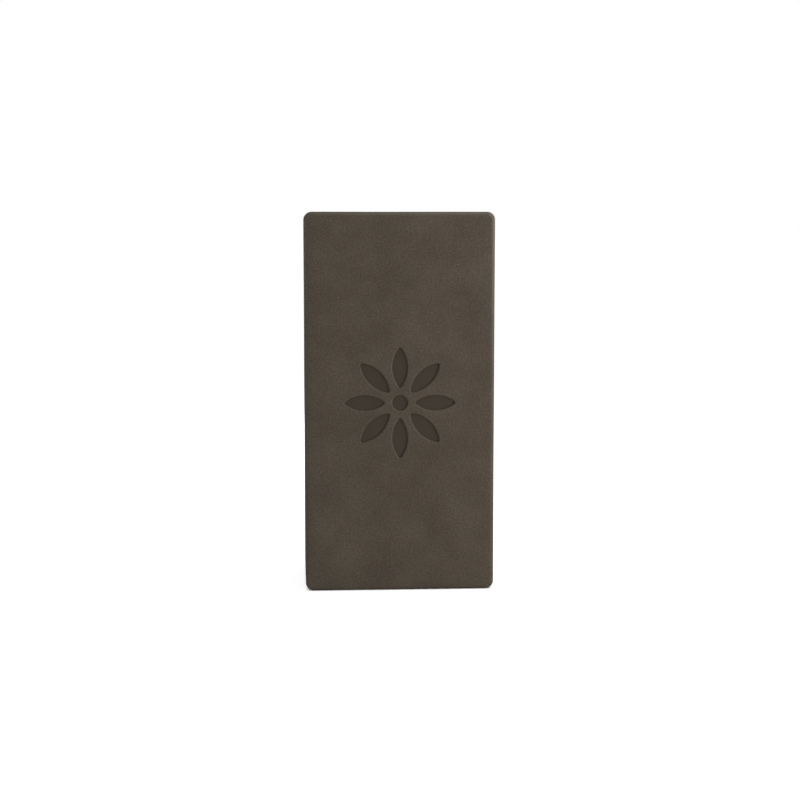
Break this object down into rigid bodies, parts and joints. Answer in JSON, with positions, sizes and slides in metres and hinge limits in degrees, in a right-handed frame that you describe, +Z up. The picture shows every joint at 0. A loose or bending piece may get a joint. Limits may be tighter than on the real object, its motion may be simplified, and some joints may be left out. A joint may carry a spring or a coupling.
{
  "type": "yoga block",
  "caption": "Brick-shaped foam yoga block of bonded sheets with softly rounded edges and a pressed rosette, to support hands, feet or body in a pose.",
  "frame": {"origin": "under the middle of the block, on the end that it stands on", "axes": "+Z up along the block's length, +Y from the front broad face to the back broad face, +X across the broad face to the right as seen from the front"},
  "size_m": [0.11, 0.075, 0.22],
  "materials": {
    "foam": "matte closed-cell EVA foam, fine grain",
    "glue": "dried contact adhesive, dull"
  },
  "bodies": {
    "root": {"front_sheet": "foam", "front_glue_film": "glue", "core_sheet": "foam", "back_glue_film": "glue", "back_sheet": "foam"}
  },
  "joints": []
}
